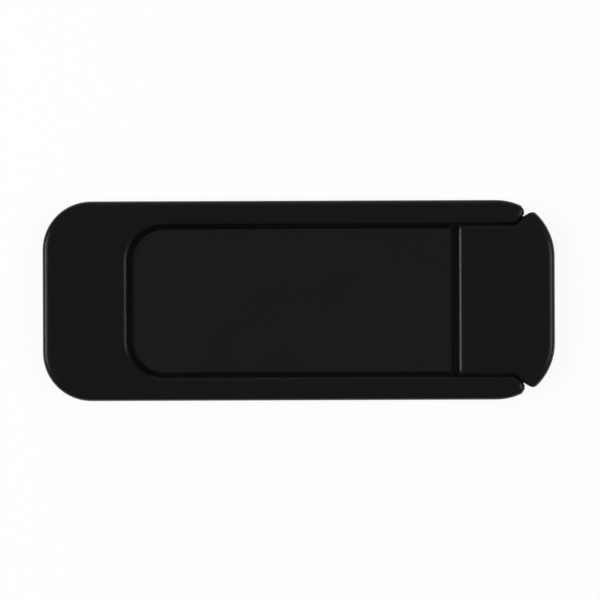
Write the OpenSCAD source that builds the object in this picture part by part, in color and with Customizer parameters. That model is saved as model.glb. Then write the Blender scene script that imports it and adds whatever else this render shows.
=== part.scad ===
// Sliding camera cover for a laptop. A U-shaped frame is stuck to the bezel round the
// camera. A slider is pushed in at the frame's open mouth, and its thin tongue runs in
// grooves under the frame's lips. Home, as drawn, the tongue shuts the camera window.
//
// Millimetres. X runs along the slide from the heel to the mouth, and Z is up from the
// adhesive's face. The origin lies on that face, under the middle of the closed cover.

/* [Cover] */
// Overall length with the slider pushed home
cover_l = 40; // [37:0.5:48]
// Overall width across the rails
cover_w = 15.6; // [14:0.1:19]
// Plan radius of the two corners at the heel
corner_r = 3.8; // [1:0.1:4.6]

/* [Frame] */
// Length of the solid heel, from the closed end to the bay
heel_l = 6.6; // [4.5:0.05:8]
// Width of each rail, seen from above
rail_w = 1.85; // [1.5:0.05:2.4]
// Plan radius of the bay's two corners at the heel
bay_r = 2.9; // [0.6:0.1:4]
// How far the rails stop short of the slider's end
end_reach = 2.38; // [1.8:0.02:3]
// Thickness of the floor under the tongue
floor_t = 0.55; // [0.4:0.05:0.8]
// Thickness of the lips that hold the tongue down
lip_t = 0.67; // [0.4:0.01:1]
// Rounding of the frame's outer top edges
frame_edge_r = 0.35; // [0.1:0.01:0.4]
// Rounding of the top edges round the bay and the mouth
bay_edge_r = 0.2; // [0.1:0.01:0.35]
// Slope of the bay's wall, from flat
wall_angle = 56; // [45:1:70]

/* [Rail tips] */
// Length over which each rail's outer side draws in
taper_l = 2.22; // [1.2:0.02:2.6]
// Plan radius at which it draws in
taper_r = 4.6; // [3:0.1:6]
// How far the flat end of each tip stays inside the cover's width
tip_drop = 0.8; // [0.6:0.02:1]
// Angle of the facet that blunts each tip, from the slide's direction
tip_angle = 55; // [45:1:65]
// How far the mouth widens at each rail
mouth_flare = 0.73; // [0.5:0.01:0.9]
// Angle of the widening, from the slide's direction
mouth_angle = 45; // [35:1:55]

/* [Slider] */
// Length of the grip, from its inner edge to the slider's end
grip_l = 7.63; // [6:0.01:9.5]
// Thickness of the tongue
tongue_t = 0.55; // [0.4:0.05:0.8]
// How far the tongue reaches under each lip
lip_bite = 0.4; // [0.25:0.05:0.6]
// How far the tongue tucks under the heel when it is home
tuck_l = 0.8; // [0.4:0.1:1.2]
// Plan radius of the tongue's inner corners
tongue_r = 0.6; // [0.2:0.1:2]
// Straight part of the slider's end
end_flat = 6.7; // [5:0.1:8]
// Plan radius of the two corners at the slider's end
end_r = 4.7; // [3:0.1:5.5]
// Angle at which each ear rises past the rail's tip
ear_angle = 30; // [24:1:36]
// Plan radius of each ear's point
ear_r = 0.55; // [0.2:0.05:0.7]
// Slope of the grip's inner face, from flat
face_angle = 46; // [45:1:70]
// Plan radius of the two corners at the foot of that face
grip_corner_r = 0.45; // [0.35:0.05:0.6]
// Rounding of the grip's inner edge and of the slider's end
grip_edge_r = 0.4; // [0.1:0.01:0.42]
// Rounding of the grip's side edges
grip_side_r = 0.15; // [0.05:0.01:0.3]

/* [Camera window] */
// Length of the window in the floor
window_l = 8; // [6:0.5:10]
// Width of the window in the floor
window_w = 9; // [6:0.5:10.5]
// Plan radius of the window's corners
window_r = 1; // [0.3:0.1:2.5]
// Strip of floor between the heel and the window
window_margin = 0.4; // [0.2:0.1:1]
// How far the tongue draws back past the window
window_clear = 0.8; // [0.2:0.1:1.5]

/* [Stop] */
// Length of each lug on the tongue's sides
lug_l = 1.2; // [0.8:0.1:2]
// How much of that length is the ramp that snaps past the mouth
lug_ramp_l = 0.7; // [0.3:0.1:0.7]
// How far each lug stands out of the tongue
lug_reach = 0.3; // [0.2:0.05:0.4]
// Narrow length of groove at the mouth, which holds the lugs in
mouth_stop_l = 1.8; // [1:0.1:2.5]

/* [Adhesive pad] */
// Thickness of the double-sided foam pad
pad_t = 0.3; // [0.2:0.05:0.5]
// Depth of its seat in the frame's underside
pad_seat = 0.1; // [0.05:0.05:0.15]
// How far the pad stays inside the frame's edge
pad_inset = 0.8; // [0.5:0.1:0.9]
// Plan radius of the pad's corners at the mouth
pad_mouth_r = 1; // [0.5:0.1:2]
// How much wider the pad's window is than the frame's, all round
pad_window_gap = 0.4; // [0.2:0.1:0.8]

/* [Fits] */
// Gap between the grip's sides and the rails
side_gap = 0.12; // [0.1:0.01:0.25]
// Gap between an ear's shoulder and the mouth, when home
shoulder_gap = 0.1; // [0.05:0.01:0.2]
// Gap over and under the tongue
run_gap = 0.06; // [0.03:0.01:0.1]
// Gap at each side of the tongue and its lugs, in the groove
groove_gap = 0.1; // [0.05:0.01:0.15]
// Gap between the slider's foot and the floor's end
end_gap = 0.12; // [0.08:0.01:0.25]
// Height of the slider's foot above the frame's underside
foot_gap = 0.1; // [0.05:0.01:0.2]
// What is left between lug and stop at full travel
stop_gap = 0.05; // [0.02:0.01:0.1]
// Gap round the pad in its seat
pad_gap = 0.08; // [0.05:0.01:0.15]

/* [Hidden] */
$fn = 96;

// Cuts run this far past the faces that they open.
overrun = 0.2;
// A face cuts this far into a rounding that it would only touch, so that the two cross.
nick = 0.005;

// Heights of the stack, from the adhesive's face upwards
base_z = pad_t - pad_seat;
floor_z = base_z + floor_t;
tongue_z = floor_z + run_gap;
recess_z = tongue_z + tongue_t;
lip_z = recess_z + run_gap;
top_z = lip_z + lip_t;
foot_z = base_z + foot_gap;

// Places along the slide
heel_x = -cover_l / 2;
bay_x = heel_x + heel_l;
tongue_x = bay_x - tuck_l;
end_x = cover_l / 2;
grip_x = end_x - grip_l;
rail_x = end_x - end_reach;
foot_x = rail_x + end_gap;
window_x = bay_x + window_margin;

// The tongue's inner end has to draw back from its tuck to just past the window.
travel = tuck_l + window_margin + window_l + window_clear;
stop_x = rail_x - mouth_stop_l;
lug_x = stop_x - stop_gap - travel;

// Half widths
half_w = cover_w / 2;
bay_half = half_w - rail_w;
grip_half = bay_half - side_gap;
tongue_half = bay_half + lip_bite;
groove_half = tongue_half + groove_gap;
lug_half = tongue_half + lug_reach;
lug_bay_half = lug_half + groove_gap;

// Where the mouth's slope meets the rail's end, and the ear's shoulder one gap inside it
mouth_y = bay_half + mouth_flare;
shoulder_y = mouth_y - shoulder_gap / cos(mouth_angle);

// Centre of the round at an ear's point, on the +Y side. The round touches the ear's flank
// and the corner at the slider's end.
end_at = [end_x - end_r, end_flat / 2];
flank = [cos(ear_angle), sin(ear_angle)];
flank_side = [-flank.y, flank.x];
flank_at = [rail_x, shoulder_y] - (ear_r - nick) * flank_side - end_at;
flank_mid = flank_at * flank;
ear_swing = end_r - ear_r + nick;
flank_run = sqrt(max(0, pow(ear_swing, 2) - flank_at * flank_at + pow(flank_mid, 2))) - flank_mid;
ear_at = end_at + flank_at + flank_run * flank;

// Height at which a slope meets the rounding above it
function slope_top(edge_r, angle) = top_z - edge_r + (edge_r - nick) * cos(angle);

// How far a slope lies behind the wall's face at height z. Below zero, it stands proud of it.
function slope_back(z, edge_r, angle) =
    edge_r - (edge_r - nick) * sin(angle) + (z - slope_top(edge_r, angle)) / tan(angle);

// The slope of the bay's wall stops short of the slope on the grip, when home.
bank_x = grip_x + slope_back(lip_z, grip_edge_r, face_angle) - side_gap;

// What a rounding takes off an outer edge. The edge is at the origin, and the material
// lies to its left and below it.
module edge_waste(r) {
    difference() {
        translate([-r, -r]) square(r + overrun);
        translate([-r, -r]) circle(r);
    }
}

// Half of a solid's section, out to reach, with its top outer edge rounded. Its side leans
// past reach by lean[0] at z0 and by lean[1] at z1.
module solid_side(reach, z0, z1, edge_r, lean) {
    difference() {
        polygon([[0, z0], [reach + lean[0], z0], [reach + lean[1], z1], [0, z1]]);
        if (edge_r > 0)
            translate([reach, z1]) edge_waste(edge_r);
    }
}

// Half of a cutter's section, out to reach. It flares at z1, to round the edge that it leaves.
module cutter_side(reach, z0, z1, edge_r) {
    translate([0, z0]) square([reach, z1 + overrun - z0]);
    if (edge_r > 0)
        translate([reach, z1]) mirror([1, 0]) edge_waste(edge_r);
}

module side(reach, z0, z1, edge_r, cuts, lean) {
    if (cuts) cutter_side(reach, z0, z1, edge_r);
    else solid_side(reach, z0, z1, edge_r, lean);
}

// Plate from x0 to x1, and half to each side of the X axis. Its corners have plan radius r0
// at x0 and r1 at x1. Its top edges are rounded or, on a cutter, flare out. Its sides may lean.
module plate(x0, x1, half, r0, r1, z0, z1, edge_r = 0, cuts = false, lean = [0, 0]) {
    mid_x = (x0 + r0 + x1 - r1) / 2;
    translate([x0 + r0, 0, 0])
        rotate([90, 0, 90])
            linear_extrude(x1 - r1 - x0 - r0) {
                side(half, z0, z1, edge_r, cuts, lean);
                mirror([1, 0]) side(half, z0, z1, edge_r, cuts, lean);
            }
    translate([mid_x, half - r1, 0])
        rotate([90, 0, 0])
            linear_extrude(2 * (half - r1)) side(x1 - mid_x, z0, z1, edge_r, cuts, lean);
    translate([mid_x, r0 - half, 0])
        rotate([90, 0, 180])
            linear_extrude(2 * (half - r0)) side(mid_x - x0, z0, z1, edge_r, cuts, lean);
    for (way = [-1, 1]) {
        translate([x0 + r0, way * (half - r0), 0])
            rotate_extrude() side(r0, z0, z1, edge_r, cuts, lean);
        translate([x1 - r1, way * (half - r1), 0])
            rotate_extrude() side(r1, z0, z1, edge_r, cuts, lean);
    }
}

// Cutter for what lies beyond a line through [x, y], as far as reach. It cuts towards the
// given bearing, between z0 and z1, and rounds the top edge that it leaves.
module trim(x, y, bearing, reach, z0, z1, edge_r) {
    translate([x, y, 0])
        rotate([90, 0, bearing])
            linear_extrude(cover_w + 2 * overrun, center = true) {
                translate([0, z0]) square([reach, z1 + overrun - z0]);
                translate([0, z1]) edge_waste(edge_r);
            }
}

// Channel under the lips, with the wider bay in which the lugs travel
module groove() {
    plate(tongue_x - groove_gap, end_x, groove_half, tongue_r, tongue_r, floor_z, lip_z);
    plate(lug_x - lug_l - groove_gap, stop_x, lug_bay_half, groove_gap, groove_gap,
          floor_z, lip_z);
}

// Window for the camera, wider by gap all round
module window(gap) {
    plate(window_x - gap, window_x + window_l + gap, window_w / 2 + gap,
          window_r + gap, window_r + gap, -overrun, floor_z + overrun);
}

// The pad without its window, from z0 up and wider by gap all round
module pad(gap, z0) {
    plate(heel_x + pad_inset - gap, rail_x - pad_inset + gap, half_w - pad_inset + gap,
          corner_r - pad_inset + gap, pad_mouth_r + gap, z0, pad_t);
}

// Sloped foot of the bay's wall, from the heel almost to the grip
module bank() {
    head_z = slope_top(bay_edge_r, wall_angle);
    difference() {
        translate([bay_x - bay_edge_r, -bay_half - bay_edge_r, lip_z])
            cube([bank_x - bay_x + bay_edge_r, 2 * (bay_half + bay_edge_r),
                  head_z - lip_z]);
        plate(bay_x, end_x, bay_half, bay_r, bay_r, lip_z - overrun, head_z + overrun,
              lean = [slope_back(lip_z - overrun, bay_edge_r, wall_angle),
                      slope_back(head_z + overrun, bay_edge_r, wall_angle)]);
    }
}

// Raised grip between the rails. Its inner face slopes, and its top edges are rounded.
module grip() {
    foot_level = (tongue_z + recess_z) / 2;
    head_z = slope_top(grip_edge_r, face_angle);
    reach = foot_x - grip_x;
    intersection() {
        plate(bank_x, foot_x + grip_corner_r, grip_half, grip_corner_r, grip_corner_r,
              tongue_z, top_z, grip_side_r);
        translate([foot_x, 0, 0])
            rotate([90, 0, 180])
                linear_extrude(cover_w, center = true) {
                    solid_side(reach, foot_level, top_z, grip_edge_r, [0, 0]);
                    solid_side(reach, foot_level, head_z, 0,
                               [-slope_back(foot_level, grip_edge_r, face_angle),
                                -slope_back(head_z, grip_edge_r, face_angle)]);
                }
    }
}

// Flat-bottomed U with a lip over each groove, a window in its floor and a seat for the pad
module base_frame() {
    color([0.09, 0.095, 0.09]) {
        difference() {
            plate(heel_x, rail_x - taper_l + taper_r, half_w, corner_r, taper_r,
                  base_z, top_z, frame_edge_r);
            trim(rail_x, 0, 0, taper_r, 0, top_z, frame_edge_r);
            for (way = [-1, 1]) {
                trim(rail_x, way * (half_w - tip_drop), way * (90 - tip_angle), taper_r,
                     0, top_z, frame_edge_r);
                trim(rail_x, way * mouth_y, way * (mouth_angle - 90), mouth_flare,
                     floor_z, top_z, bay_edge_r);
            }
            plate(bay_x, end_x + bay_r, bay_half, bay_r, bay_r,
                  floor_z, top_z, bay_edge_r, cuts = true);
            groove();
            window(0);
            pad(pad_gap, -overrun);
        }
        bank();
    }
}

// End of the slider: an ear fills each side of the mouth, and its foot covers the floor's end
module end_block() {
    root_x = (grip_x + rail_x) / 2;
    root_y = shoulder_y - (rail_x - root_x) * tan(mouth_angle);
    past = ear_at + 2 * ear_r * (ear_at - end_at) / norm(ear_at - end_at);
    ear = [[root_x, root_y], [rail_x, shoulder_y], ear_at + (ear_r - nick) * flank_side,
           ear_at, past, [end_x + overrun, past.y]];
    difference() {
        intersection() {
            plate(root_x - 2 * end_r, end_x, end_flat / 2 + end_r, end_r, end_r,
                  foot_z, top_z, grip_edge_r);
            linear_extrude(top_z) {
                polygon([each ear, for (i = [len(ear) - 1:-1:0]) [ear[i].x, -ear[i].y]]);
                for (way = [-1, 1])
                    translate([ear_at.x, way * ear_at.y]) circle(ear_r);
            }
        }
        translate([root_x - overrun, -half_w, 0])
            cube([foot_x - root_x + overrun, cover_w, tongue_z]);
    }
}

// A lug for the tongue's upper side: square towards the mouth, ramped towards the heel
module lug() {
    translate([lug_x, tongue_half, tongue_z])
        linear_extrude(tongue_t)
            polygon([[0, -lug_reach], [0, lug_reach], [lug_ramp_l - lug_l, lug_reach],
                     [-lug_l, 0], [-lug_l, -lug_reach]]);
}

// Thin tongue with its lugs, raised grip between the rails, and the eared end
module slider() {
    color([0.09, 0.095, 0.09]) {
        plate(tongue_x, foot_x + tongue_r, tongue_half, tongue_r, tongue_r,
              tongue_z, recess_z);
        lug();
        mirror([0, 1, 0]) lug();
        grip();
        end_block();
    }
}

// Double-sided foam pad, die-cut to the frame's underside and its window
module adhesive_pad() {
    color([0.86, 0.87, 0.85])
        difference() {
            pad(0, 0);
            window(pad_window_gap);
        }
}

base_frame();
slider();
adhesive_pad();
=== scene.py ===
"""Dresses the sliding camera cover: the moulded frame and slider, the foam pad, and the studio.

X runs along the slide from the heel to the mouth, and Z is up from the adhesive's face.
Lengths named in capitals, and the outlines of the pad, are millimetres. They turn into metres
where a mesh, a pattern or a lamp is made. The settings of the panel are metres and watts.
"""
import math

import bmesh
import bpy
import numpy as np
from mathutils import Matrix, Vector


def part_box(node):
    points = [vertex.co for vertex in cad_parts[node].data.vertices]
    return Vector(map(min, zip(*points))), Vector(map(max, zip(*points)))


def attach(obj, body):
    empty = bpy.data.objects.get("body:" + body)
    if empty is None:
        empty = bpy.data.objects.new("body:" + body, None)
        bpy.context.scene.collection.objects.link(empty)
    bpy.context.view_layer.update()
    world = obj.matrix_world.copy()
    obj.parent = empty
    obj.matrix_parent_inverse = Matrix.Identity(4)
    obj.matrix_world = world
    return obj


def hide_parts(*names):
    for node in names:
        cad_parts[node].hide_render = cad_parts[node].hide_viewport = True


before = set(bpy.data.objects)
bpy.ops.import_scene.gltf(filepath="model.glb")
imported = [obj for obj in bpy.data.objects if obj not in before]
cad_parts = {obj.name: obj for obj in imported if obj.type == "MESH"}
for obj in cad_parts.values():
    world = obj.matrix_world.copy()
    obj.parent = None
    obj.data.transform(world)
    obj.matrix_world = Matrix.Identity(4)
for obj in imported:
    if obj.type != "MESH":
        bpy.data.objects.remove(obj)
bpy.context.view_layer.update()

bl_info = {
    "name": "Sliding camera cover",
    "version": (1, 0, 0),
    "blender": (4, 5, 0),
    "location": "3D View > Sidebar > Camera cover",
    "description": "Builds the cover's frame, slider, adhesive pad and studio",
    "category": "Object",
}

MM = 0.001

# The pad's box, the radius of its corners, and the window round the camera
PAD_LOW, PAD_HIGH = (tuple(c / MM for c in corner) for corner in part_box("adhesive_pad"))
HEEL_CORNER, MOUTH_CORNER = 3.0, 1.0
WINDOW_START, WINDOW_END, WINDOW_HALF, WINDOW_CORNER = -13.4, -4.6, 4.9, 1.4
# The pad's cut edge: the film's rounding, and the step behind it where the foam starts
CUT_ROUND, CUT_STEP = 0.012, 0.008
ARC_STEPS, SIDE_STEPS = 14, 10

# Height of the tongue's face, where the grip starts, and what tells two levels apart
TONGUE_FACE, GRIP_START, LEVEL_SLACK = 1.36, 12.37, 0.01
# Above this height the moulded faces roll off. Half of the band in which that sets in
CROWN_LEVEL, CROWN_BAND = 1.98, 0.06
# Loose corners of a CAD node that are one, and the turn in degrees below which faces are one
MERGE_DISTANCE, FLAT_TURN = 0.0002, 0.3
# Turns in degrees from which an edge is broken on the plastic, and is sharp on the pad
BREAK_TURN, SHARP_TURN = 30, 40

# Real sizes of the patterns: streaks of flow, foam cells, waves in the film, paper fibre
FLOW_SIZE, CELL_SIZE, WAVE_SIZE, FIBRE_SIZE = 5, 0.15, 1.2, 2
CELL_DEPTH, WAVE_DEPTH = 0.02, 0.01
# How far the gloss of the plastic varies, to each side of its roughness
GLOSS_SPREAD = 0.015
ABS_IOR, FOAM_IOR, ACRYLIC_IOR = 1.54, 1.5, 1.47

# The floor, which lies just under the pad, and how near a piece lies that it lights from below
FLOOR_REACH, FLOOR_DROP, CONTACT = 600, 0.01, 0.15
# What the camera sees of the paper: its own glow, and the share that lamps and shadows add
PAPER_GLOW, PAPER_SHARE = 0.9, 0.35

# Softboxes: name, bearing from +X, height angle, and share of the power
LAMPS = (("left softbox", 180, 44, 1), ("right softbox", 0, 48, 0.55),
         ("back softbox", 90, 40, 0.1))
LAMP_DISTANCE, LAMP_SIDE = 350, 130
# The room's brightness low beyond the cover's ends, low beyond its sides, and overhead
END_GLOW, SIDE_GLOW, CEILING_GLOW = 0.004, 0.05, 0.115
ROOM_TINT = (0.93, 1, 0.96, 1)
WHITE = (1, 1, 1, 1)

# The picture: its width at the level of the cover's outline, its middle, and its turn in degrees
VIEW_WIDTH, VIEW_LEVEL, VIEW_X, VIEW_Y, VIEW_TURN = 46.85, 1.74, 0.090, 0.039, -0.22
SENSOR_WIDTH = 36


def linear(hex_colour):
    """An sRGB hex colour as the linear values that Blender works in."""
    srgb = np.array([int(hex_colour[i:i + 2], 16) for i in (1, 3, 5)]) / 255
    return tuple(np.where(srgb <= 0.04045, srgb / 12.92, ((srgb + 0.055) / 1.055) ** 2.4))


# --- Sizes and colours that a user would change ---------------------------------------------


class MouldingSettings(bpy.types.PropertyGroup):
    """The two injection-moulded pieces."""

    face_colour: bpy.props.FloatVectorProperty(
        name="Face colour", description="Colour of the textured plastic",
        subtype="COLOR", size=3, min=0, max=1, default=linear("#1d201f"))
    flow_colour: bpy.props.FloatVectorProperty(
        name="Flow colour", description="Lighter tone where the plastic ran",
        subtype="COLOR", size=3, min=0, max=1, default=linear("#1e2120"))
    roughness: bpy.props.FloatProperty(
        name="Roughness", description="Roughness of the frame's and the grip's faces",
        subtype="FACTOR", min=0, max=1, default=0.22)
    tongue_roughness: bpy.props.FloatProperty(
        name="Tongue roughness", description="Roughness of the tongue's face",
        subtype="FACTOR", min=0, max=1, default=0.41)
    grain: bpy.props.FloatProperty(
        name="Grain", description="Width of one grain of the mould's spark texture",
        unit="LENGTH", min=0.00002, max=0.001, default=0.00014)
    grain_depth: bpy.props.FloatProperty(
        name="Grain depth", description="Height of that texture",
        unit="LENGTH", min=0, max=0.0001, default=0.000004)
    edge_break: bpy.props.FloatProperty(
        name="Edge break", description="Rounding of the edges that the mould leaves sharp",
        unit="LENGTH", min=0.00001, max=0.0002, default=0.00005)
    crown: bpy.props.FloatProperty(
        name="Crown", description="How far from a top edge the polished faces start to roll off",
        unit="LENGTH", min=0.0001, max=0.001, default=0.0006)


class PadSettings(bpy.types.PropertyGroup):
    """The die-cut foam pad with adhesive on both faces."""

    foam_colour: bpy.props.FloatVectorProperty(
        name="Foam colour", description="Colour of the closed-cell foam",
        subtype="COLOR", size=3, min=0, max=1, default=linear("#e6e7e3"))
    film: bpy.props.FloatProperty(
        name="Film", description="Thickness of each adhesive film",
        unit="LENGTH", min=0.00001, max=0.0001, default=0.00003)
    bulge: bpy.props.FloatProperty(
        name="Bulge", description="How far the foam stands out from the film at the cut edge",
        unit="LENGTH", min=0, max=0.0001, default=0.00004)


class StageSettings(bpy.types.PropertyGroup):
    """Floor, lamps and camera."""

    floor_colour: bpy.props.FloatVectorProperty(
        name="Floor colour", description="Colour of the paper floor",
        subtype="COLOR", size=3, min=0, max=1, default=linear("#f4f4f4"))
    side_power: bpy.props.FloatProperty(
        name="Side power", description="Power of the strongest softbox",
        unit="POWER", min=0, default=0.176)
    lens_mm: bpy.props.FloatProperty(
        name="Lens", description="Focal length of the camera, in millimetres",
        min=20, max=400, default=150)


# --- Meshes ---------------------------------------------------------------------------------


def rounded_outline(x0, x1, half, r0, r1):
    """Outline of a plate from x0 to x1 and half to each side of the X axis, as points and
    outward normals, anticlockwise from the start of the corner at high X and high Y.

    Each corner is centre + r * (cos a, sin a) over a quarter turn, with normal (cos a, sin a).
    Each side is a straight blend from the end of one corner to the start of the next.
    """
    corners = [(x1 - r1, half - r1, r1, 0), (x0 + r0, half - r0, r0, 90),
               (x0 + r0, r0 - half, r0, 180), (x1 - r1, r1 - half, r1, 270)]
    turn = np.radians(np.linspace(0, 90, ARC_STEPS))
    points, normals = [], []
    for cx, cy, r, start in corners:
        a = turn + math.radians(start)
        normal = np.column_stack([np.cos(a), np.sin(a)])
        points.append(np.array([cx, cy]) + r * normal)
        normals.append(normal)
    share = np.linspace(0, 1, SIDE_STEPS + 2)[1:-1, None]
    rows, row_normals = [], []
    for i, corner in enumerate(points):
        following = points[(i + 1) % len(points)]
        rows += [corner, corner[-1] + share * (following[0] - corner[-1])]
        row_normals += [normals[i], np.repeat(normals[i][-1:], SIDE_STEPS, axis=0)]
    return np.vstack(rows), np.vstack(row_normals)


def closed_grid_faces(rings, steps):
    """Quads between each ring of points and the next. Both ways round, the last joins the first."""
    ring, step = np.meshgrid(np.arange(rings), np.arange(steps), indexing="ij")
    a = ring * steps + step
    b = ring * steps + (step + 1) % steps
    c = (ring + 1) % rings * steps + (step + 1) % steps
    d = (ring + 1) % rings * steps + step
    return np.stack([a, b, c, d], axis=-1).reshape(-1, 4)


def mesh_object(name, points, faces):
    """A smooth mesh object at the origin from an (n, 3) array in millimetres and its quads."""
    mesh = bpy.data.meshes.new(name)
    mesh.from_pydata((points * MM).tolist(), [], faces.tolist())
    mesh.validate()
    mesh.polygons.foreach_set("use_smooth", np.full(len(mesh.polygons), True))
    mesh.update()
    piece = bpy.data.objects.new(name, mesh)
    bpy.context.scene.collection.objects.link(piece)
    return piece


def merged_copy(node, name):
    """A copy of a CAD node with its loose triangles merged and its flat faces made whole."""
    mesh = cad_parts[node].data.copy()
    mesh.name = name
    work = bmesh.new()
    work.from_mesh(mesh)
    bmesh.ops.remove_doubles(work, verts=work.verts, dist=MERGE_DISTANCE * MM)
    bmesh.ops.dissolve_limit(work, angle_limit=math.radians(FLAT_TURN),
                             verts=work.verts, edges=work.edges)
    for face in work.faces:
        face.smooth = True
    work.to_mesh(mesh)
    work.free()
    # The triangles' own normals no longer fit
    stored = mesh.attributes.get("custom_normal")
    if stored:
        mesh.attributes.remove(stored)
    mesh.materials.clear()
    mesh.update()
    piece = bpy.data.objects.new(name, mesh)
    bpy.context.scene.collection.objects.link(piece)
    return piece


def break_edges(piece, width):
    """Rounds the sharp edges, and shades flat faces flat."""
    bevel = piece.modifiers.new("edge break", "BEVEL")
    bevel.width = width
    bevel.segments = 2
    bevel.limit_method = "ANGLE"
    bevel.angle_limit = math.radians(BREAK_TURN)
    bevel.miter_outer = "MITER_ARC"
    bevel.harden_normals = True
    shading = piece.modifiers.new("shading", "WEIGHTED_NORMAL")
    shading.keep_sharp = True


# --- Materials ------------------------------------------------------------------------------


def add_node(tree, kind, values=None, links=None, **settings):
    """Adds one node, sets its fields and sockets, and links its inputs."""
    node = tree.nodes.new(kind)
    for name, value in settings.items():
        setattr(node, name, value)
    for socket, value in (values or {}).items():
        node.inputs[socket].default_value = value
    for socket, source in (links or {}).items():
        tree.links.new(source, node.inputs[socket])
    return node


def new_material(name):
    """An empty node material, with its tree."""
    material = bpy.data.materials.new(name)
    material.use_nodes = True
    material.node_tree.nodes.clear()
    return material, material.node_tree


def spark_textured_abs(name, made, roughness, depth):
    """Black ABS from a spark-eroded mould. The fine pits spread each highlight, and slow
    flow of the melt leaves the tone and the gloss a little uneven. The mould is polished by
    hand before it is eroded, so its faces roll off softly towards their top edges."""
    material, tree = new_material(name)
    place = add_node(tree, "ShaderNodeTexCoord").outputs["Object"]

    # The roll-off is kept to the top faces, so that the foot of each slope stays crisp.
    rise = add_node(tree, "ShaderNodeSeparateXYZ", links={0: place}).outputs["Z"]
    upper = add_node(tree, "ShaderNodeMapRange",
                     {"From Min": (CROWN_LEVEL - CROWN_BAND) * MM,
                      "From Max": (CROWN_LEVEL + CROWN_BAND) * MM},
                     {"Value": rise}, interpolation_type="SMOOTHSTEP")
    flat = add_node(tree, "ShaderNodeNewGeometry").outputs["Normal"]
    soft = add_node(tree, "ShaderNodeBevel", {"Radius": made.crown}, samples=8).outputs["Normal"]
    rolled = add_node(tree, "ShaderNodeMix", data_type="VECTOR",
                      links={0: upper.outputs["Result"], "A": flat, "B": soft})

    flow = add_node(tree, "ShaderNodeTexNoise",
                    {"Scale": 1 / (FLOW_SIZE * MM), "Detail": 3, "Roughness": 0.5},
                    {"Vector": place})
    tone = add_node(tree, "ShaderNodeMix", data_type="RGBA", links={0: flow.outputs["Fac"]})
    tone.inputs["A"].default_value = (*made.face_colour, 1)
    tone.inputs["B"].default_value = (*made.flow_colour, 1)
    gloss = add_node(tree, "ShaderNodeMapRange",
                     {"From Min": 0.3, "From Max": 0.7, "To Min": roughness - GLOSS_SPREAD,
                      "To Max": roughness + GLOSS_SPREAD}, {"Value": flow.outputs["Fac"]})

    # Real spark pits are about 0.03 mm wide. They are drawn coarser, because those wouldn't show.
    pits = add_node(tree, "ShaderNodeTexNoise",
                    {"Scale": 1 / made.grain, "Detail": 2, "Roughness": 0.6}, {"Vector": place})
    bump = add_node(tree, "ShaderNodeBump", {"Strength": 0.5, "Distance": depth},
                    {"Height": pits.outputs["Fac"], "Normal": rolled.outputs["Result"]})
    shader = add_node(tree, "ShaderNodeBsdfPrincipled", {"IOR": ABS_IOR},
                      {"Base Color": tone.outputs["Result"], "Roughness": gloss.outputs["Result"],
                       "Normal": bump.outputs["Normal"]})
    add_node(tree, "ShaderNodeOutputMaterial", links={"Surface": shader.outputs["BSDF"]})
    return material


def closed_cell_foam(name, colour):
    """White polyethylene foam, cut with a die. Its cut edge is matt and lightly pitted."""
    material, tree = new_material(name)
    place = add_node(tree, "ShaderNodeTexCoord").outputs["Object"]
    cells = add_node(tree, "ShaderNodeTexVoronoi", {"Scale": 1 / (CELL_SIZE * MM)},
                     {"Vector": place})
    # The walls between the cells are a little darker.
    shade = add_node(tree, "ShaderNodeMapRange",
                     {"From Min": 0, "From Max": 0.6, "To Min": 1, "To Max": 0.86},
                     {"Value": cells.outputs["Distance"]})
    tone = add_node(tree, "ShaderNodeMix", data_type="RGBA", links={0: shade.outputs["Result"]})
    tone.inputs["A"].default_value = (0, 0, 0, 1)
    tone.inputs["B"].default_value = (*colour, 1)
    bump = add_node(tree, "ShaderNodeBump", {"Strength": 0.6, "Distance": CELL_DEPTH * MM},
                    {"Height": cells.outputs["Distance"]})
    shader = add_node(tree, "ShaderNodeBsdfPrincipled", {"IOR": FOAM_IOR, "Roughness": 0.75},
                      {"Base Color": tone.outputs["Result"], "Normal": bump.outputs["Normal"]})
    add_node(tree, "ShaderNodeOutputMaterial", links={"Surface": shader.outputs["BSDF"]})
    return material


def acrylic_adhesive(name, colour):
    """Clear acrylic adhesive on white foam: a wet gloss, in slow waves from the coating
    knife, over the foam's soft white."""
    material, tree = new_material(name)
    place = add_node(tree, "ShaderNodeTexCoord").outputs["Object"]
    waves = add_node(tree, "ShaderNodeTexNoise", {"Scale": 1 / (WAVE_SIZE * MM), "Detail": 2},
                     {"Vector": place})
    tone = add_node(tree, "ShaderNodeMix", data_type="RGBA", links={0: waves.outputs["Fac"]})
    tone.inputs["A"].default_value = (*(0.9 * c for c in colour), 1)
    tone.inputs["B"].default_value = (*colour, 1)
    gloss = add_node(tree, "ShaderNodeMapRange", {"To Min": 0.18, "To Max": 0.34},
                     {"Value": waves.outputs["Fac"]})
    bump = add_node(tree, "ShaderNodeBump", {"Strength": 0.3, "Distance": WAVE_DEPTH * MM},
                    {"Height": waves.outputs["Fac"]})
    shader = add_node(tree, "ShaderNodeBsdfPrincipled", {"IOR": ACRYLIC_IOR},
                      {"Base Color": tone.outputs["Result"], "Roughness": gloss.outputs["Result"],
                       "Normal": bump.outputs["Normal"]})
    add_node(tree, "ShaderNodeOutputMaterial", links={"Surface": shader.outputs["BSDF"]})
    return material


# --- Stage ----------------------------------------------------------------------------------


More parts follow.
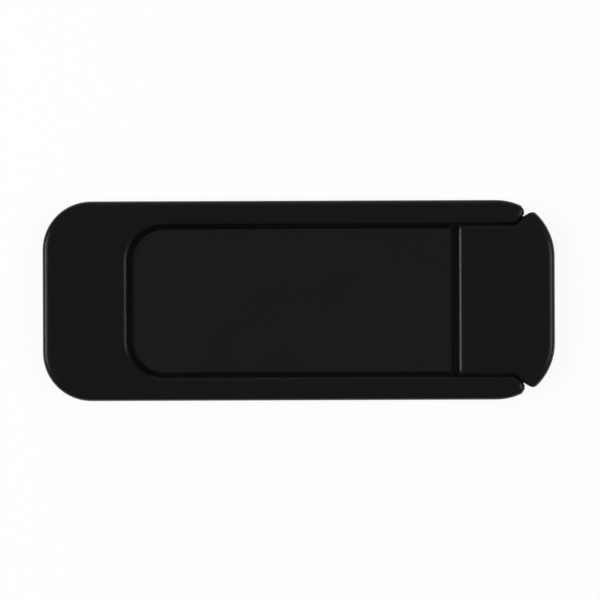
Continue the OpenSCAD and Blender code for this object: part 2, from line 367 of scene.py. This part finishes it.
def softbox(name, bearing, rise, power):
    """A square lamp that faces the object, at a bearing from +X and a height angle."""
    lamp = bpy.data.lights.new(name, "AREA")
    lamp.shape = "SQUARE"
    lamp.size = LAMP_SIDE * MM
    lamp.energy = power
    holder = bpy.data.objects.new(name, lamp)
    a, e = math.radians(bearing), math.radians(rise)
    way = np.array([math.cos(e) * math.cos(a), math.cos(e) * math.sin(a), math.sin(e)])
    holder.location = way * LAMP_DISTANCE * MM
    holder.rotation_euler = (math.pi / 2 - e, 0, a + math.pi / 2)
    bpy.context.scene.collection.objects.link(holder)


def paper_floor(colour):
    """White paper. Camera, gloss and glass see it white, with a soft shadow. It is plain paper
    to all other light, but it shines on the pad, which lies on it, from below."""
    material, tree = new_material("white paper")
    seen = add_node(tree, "ShaderNodeLightPath").outputs
    near = add_node(tree, "ShaderNodeMath", {1: CONTACT * MM}, {0: seen["Ray Length"]},
                    operation="LESS_THAN")
    white = add_node(tree, "ShaderNodeMath", operation="MULTIPLY",
                     links={0: near.outputs[0], 1: seen["Is Diffuse Ray"]})
    for ray in ("Is Camera Ray", "Is Glossy Ray", "Is Transmission Ray"):
        white = add_node(tree, "ShaderNodeMath", operation="MAXIMUM",
                         links={0: white.outputs[0], 1: seen[ray]})

    place = add_node(tree, "ShaderNodeTexCoord").outputs["Object"]
    fibre = add_node(tree, "ShaderNodeTexNoise", {"Scale": 1 / (FIBRE_SIZE * MM), "Detail": 2},
                     {"Vector": place})
    tone = add_node(tree, "ShaderNodeMix", data_type="RGBA", links={0: fibre.outputs["Fac"]})
    tone.inputs["A"].default_value = (*(0.97 * c for c in colour), 1)
    tone.inputs["B"].default_value = (*colour, 1)
    paper = add_node(tree, "ShaderNodeBsdfDiffuse", links={"Color": tone.outputs["Result"]})
    shadow = add_node(tree, "ShaderNodeBsdfDiffuse", {"Color": (*[PAPER_SHARE] * 3, 1)})
    glow = add_node(tree, "ShaderNodeEmission", {"Color": WHITE, "Strength": PAPER_GLOW})
    lifted = add_node(tree, "ShaderNodeAddShader",
                      links={0: shadow.outputs[0], 1: glow.outputs[0]})
    front = add_node(tree, "ShaderNodeMixShader",
                     links={0: white.outputs[0], 1: paper.outputs[0], 2: lifted.outputs[0]})

    # From below, the paper lets the view through to the object's underside.
    back = add_node(tree, "ShaderNodeNewGeometry").outputs["Backfacing"]
    clear = add_node(tree, "ShaderNodeBsdfTransparent")
    sheet = add_node(tree, "ShaderNodeMixShader",
                     links={0: back, 1: front.outputs[0], 2: clear.outputs[0]})
    add_node(tree, "ShaderNodeOutputMaterial", links={"Surface": sheet.outputs[0]})
    return material


def studio_world():
    """White to camera and glass, and to gloss below the horizon. The rest lights the object as
    a dim, faintly green room: softly from overhead, weakly from low beyond the long sides, and
    hardly at all from low beyond the ends, which keeps the slopes dark beside the highlights."""
    world = bpy.data.worlds.new("studio")
    bpy.context.scene.world = world
    world.use_nodes = True
    tree = world.node_tree
    tree.nodes.clear()
    seen = add_node(tree, "ShaderNodeLightPath").outputs
    place = add_node(tree, "ShaderNodeTexCoord").outputs["Generated"]
    way = add_node(tree, "ShaderNodeSeparateXYZ", links={0: place}).outputs
    across = add_node(tree, "ShaderNodeMath", operation="ABSOLUTE", links={0: way["Y"]})
    low = add_node(tree, "ShaderNodeMapRange",
                   {"From Min": 0.3, "From Max": 0.9, "To Min": END_GLOW, "To Max": SIDE_GLOW},
                   {"Value": across.outputs[0]}, interpolation_type="SMOOTHSTEP")
    level = add_node(tree, "ShaderNodeMapRange",
                     {"From Min": 0.1, "From Max": 0.7, "To Max": CEILING_GLOW},
                     {"Value": way["Z"], "To Min": low.outputs["Result"]},
                     interpolation_type="SMOOTHSTEP")
    room = add_node(tree, "ShaderNodeBackground", {"Color": ROOM_TINT},
                    {"Strength": level.outputs["Result"]})

    below = add_node(tree, "ShaderNodeMath", {1: 0}, {0: way["Z"]}, operation="LESS_THAN")
    white = add_node(tree, "ShaderNodeMath", operation="MULTIPLY",
                     links={0: below.outputs[0], 1: seen["Is Glossy Ray"]})
    for ray in ("Is Camera Ray", "Is Transmission Ray"):
        white = add_node(tree, "ShaderNodeMath", operation="MAXIMUM",
                         links={0: white.outputs[0], 1: seen[ray]})
    backdrop = add_node(tree, "ShaderNodeBackground", {"Color": WHITE, "Strength": 1})
    both = add_node(tree, "ShaderNodeMixShader",
                    links={0: white.outputs[0], 1: room.outputs[0], 2: backdrop.outputs[0]})
    add_node(tree, "ShaderNodeOutputWorld", links={"Surface": both.outputs[0]})


# --- Operators ------------------------------------------------------------------------------


class COVER_OT_frame(bpy.types.Operator):
    """Builds the U-shaped frame: heel, rails, floor and window"""

    bl_idname = "cover.frame"
    bl_label = "Frame"

    def execute(self, context):
        made = context.scene.cover_moulding
        piece = merged_copy("base_frame", "cover_frame")
        break_edges(piece, made.edge_break)
        piece.data.materials.append(spark_textured_abs(
            "black ABS, spark-eroded mould", made, made.roughness, made.grain_depth))
        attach(piece, "base")
        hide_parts("base_frame")
        return {"FINISHED"}


class COVER_OT_slider(bpy.types.Operator):
    """Builds the slider: tongue, lugs, grip and eared end"""

    bl_idname = "cover.slider"
    bl_label = "Slider"

    def execute(self, context):
        made = context.scene.cover_moulding
        piece = merged_copy("slider", "cover_slider")
        break_edges(piece, made.edge_break)
        piece.data.materials.append(spark_textured_abs(
            "black ABS, spark-eroded grip", made, made.roughness, made.grain_depth))
        # The tongue's part of the mould has a finer grain and isn't buffed, so it is more matt.
        piece.data.materials.append(spark_textured_abs(
            "black ABS, fine-eroded tongue", made, made.tongue_roughness, made.grain_depth / 2))
        centres = np.zeros(len(piece.data.polygons) * 3)
        piece.data.polygons.foreach_get("center", centres)
        x, _, z = centres.reshape(-1, 3).T / MM
        tongue = (z < TONGUE_FACE + LEVEL_SLACK) & (x < GRIP_START)
        piece.data.polygons.foreach_set("material_index", tongue.astype(np.int32))
        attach(piece, "slider")
        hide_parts("slider")
        return {"FINISHED"}


class COVER_OT_pad(bpy.types.Operator):
    """Builds the die-cut adhesive pad: a foam core between two adhesive films"""

    bl_idname = "cover.pad"
    bl_label = "Adhesive pad"

    def execute(self, context):
        made = context.scene.cover_pad
        film, bulge = made.film / MM, made.bulge / MM
        low, high = PAD_LOW[2], PAD_HIGH[2]
        outer = rounded_outline(PAD_LOW[0], PAD_HIGH[0], PAD_HIGH[1], HEEL_CORNER, MOUTH_CORNER)
        window = rounded_outline(WINDOW_START, WINDOW_END, WINDOW_HALF,
                                 WINDOW_CORNER, WINDOW_CORNER)

        # One side of the section, from the lower face up, as (depth behind the outline, height).
        # Rows 2 to 7 are foam, which is squeezed back by the die next to each film.
        edge = [(CUT_ROUND, low), (0, low + CUT_ROUND), (0, low + film),
                (bulge, low + film + CUT_STEP), (0.5 * bulge, low + 0.3 * (high - low)),
                (0.3 * bulge, (low + high) / 2), (0.5 * bulge, high - 0.3 * (high - low)),
                (bulge, high - film - CUT_STEP),
                (0, high - film), (0, high - CUT_ROUND), (CUT_ROUND, high)]
        rings = [(outer, -d, z) for d, z in edge] + [(window, d, z) for d, z in edge[::-1]]
        points = np.vstack([
            np.column_stack([line + d * normal, np.full(len(line), z)])
            for (line, normal), d, z in rings])
        steps = len(outer[0])
        piece = mesh_object("foam_pad", points, closed_grid_faces(len(rings), steps))
        piece.data.materials.append(acrylic_adhesive("acrylic adhesive film", made.foam_colour))
        piece.data.materials.append(closed_cell_foam("closed-cell foam, die-cut",
                                                     made.foam_colour))
        row = np.arange(len(rings) * steps) // steps % len(edge)
        piece.data.polygons.foreach_set(
            "material_index", ((row >= 2) & (row <= 7)).astype(np.int32))
        piece.data.set_sharp_from_angle(angle=math.radians(SHARP_TURN))
        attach(piece, "base")
        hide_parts("adhesive_pad")
        return {"FINISHED"}


class COVER_OT_stage(bpy.types.Operator):
    """Builds the paper floor, the softboxes, the world and the camera"""

    bl_idname = "cover.stage"
    bl_label = "Stage"

    def execute(self, context):
        scene, made = context.scene, context.scene.cover_stage
        scene.view_settings.view_transform = "Standard"
        corners = FLOOR_REACH * np.array([[-1, -1, 0], [1, -1, 0], [1, 1, 0], [-1, 1, 0]])
        floor = mesh_object("paper", corners - np.array([0, 0, FLOOR_DROP]),
                            np.array([[0, 1, 2, 3]]))
        floor.data.materials.append(paper_floor(made.floor_colour))
        for name, bearing, rise, share in LAMPS:
            softbox(name, bearing, rise, share * made.side_power)
        studio_world()

        # The camera looks straight down from a height that gives the picture its width. The
        # cover lies a little left of and below the picture's middle, slightly turned.
        camera = bpy.data.cameras.new("camera")
        camera.lens = made.lens_mm
        camera.sensor_width = SENSOR_WIDTH
        camera.clip_start, camera.clip_end = 0.01, 10
        eye = bpy.data.objects.new("camera", camera)
        height = VIEW_LEVEL + VIEW_WIDTH * camera.lens / camera.sensor_width
        eye.location = (VIEW_X * MM, VIEW_Y * MM, height * MM)
        eye.rotation_euler = (0, 0, math.radians(VIEW_TURN))
        scene.collection.objects.link(eye)
        scene.camera = eye
        return {"FINISHED"}


class COVER_PT_pieces(bpy.types.Panel):
    """Lists the steps in the order in which they run, and the settings"""

    bl_idname = "COVER_PT_pieces"
    bl_label = "Camera cover"
    bl_space_type = "VIEW_3D"
    bl_region_type = "UI"
    bl_category = "Camera cover"

    def draw(self, context):
        for step in STEPS:
            self.layout.operator(step.bl_idname)
        for group in (context.scene.cover_moulding, context.scene.cover_pad,
                      context.scene.cover_stage):
            for name in type(group).__annotations__:
                self.layout.prop(group, name)


STEPS = (COVER_OT_frame, COVER_OT_slider, COVER_OT_pad, COVER_OT_stage)
CLASSES = (MouldingSettings, PadSettings, StageSettings, *STEPS, COVER_PT_pieces)


def register():
    """Adds the classes and the scene's settings."""
    for kind in CLASSES:
        bpy.utils.register_class(kind)
    bpy.types.Scene.cover_moulding = bpy.props.PointerProperty(type=MouldingSettings)
    bpy.types.Scene.cover_pad = bpy.props.PointerProperty(type=PadSettings)
    bpy.types.Scene.cover_stage = bpy.props.PointerProperty(type=StageSettings)


def unregister():
    """Takes them away again."""
    del bpy.types.Scene.cover_stage
    del bpy.types.Scene.cover_pad
    del bpy.types.Scene.cover_moulding
    for kind in reversed(CLASSES):
        bpy.utils.unregister_class(kind)


def main():
    """Builds everything."""
    register()
    bpy.ops.cover.frame()
    bpy.ops.cover.slider()
    bpy.ops.cover.pad()
    bpy.ops.cover.stage()


if __name__ == "__main__":
    main()
